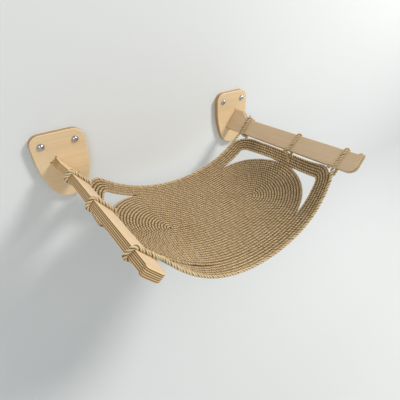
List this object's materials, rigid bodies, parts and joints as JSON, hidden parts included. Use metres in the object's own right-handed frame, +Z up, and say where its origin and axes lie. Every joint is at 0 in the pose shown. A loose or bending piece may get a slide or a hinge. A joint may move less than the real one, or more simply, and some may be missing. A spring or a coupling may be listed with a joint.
{
  "type": "cat wall hammock",
  "caption": "Cat wall hammock: a sagging mat of coiled jute rope lashed between two tilted plywood arms, each tenoned into a shield-shaped wall plate.",
  "frame": {"origin": "on the wall's face, midway between the middle lines of the two arms' roots", "axes": "+X to the right along the wall as seen from the room, +Y into the wall, +Z up; the arms reach out along -Y"},
  "size_m": [0.687, 0.513, 0.2875],
  "materials": {
    "plywood": "clear matt lacquer, layered edges showing",
    "jute_rope": "natural twisted jute, fuzzy",
    "chrome": "bright plated",
    "screw_steel": "zinc plated",
    "plug_plastic": "moulded nylon"
  },
  "bodies": {
    "root": {"wall_plate_left": "plywood", "wall_plate_right": "plywood", "arm_left": "plywood", "arm_right": "plywood", "screw_left_outer": "screw_steel", "screw_left_inner": "screw_steel", "screw_right_outer": "screw_steel", "screw_right_inner": "screw_steel", "screw_cover_left_outer": "chrome", "screw_cover_left_inner": "chrome", "screw_cover_right_outer": "chrome", "screw_cover_right_inner": "chrome", "wall_plug_left_outer": "plug_plastic", "wall_plug_left_inner": "plug_plastic", "wall_plug_right_outer": "plug_plastic", "wall_plug_right_inner": "plug_plastic", "mat_coil": "jute_rope", "mat_border": "jute_rope", "edge_rope_front": "jute_rope", "edge_rope_back": "jute_rope", "side_tie_left": "jute_rope", "side_tie_right": "jute_rope"}
  },
  "joints": []
}
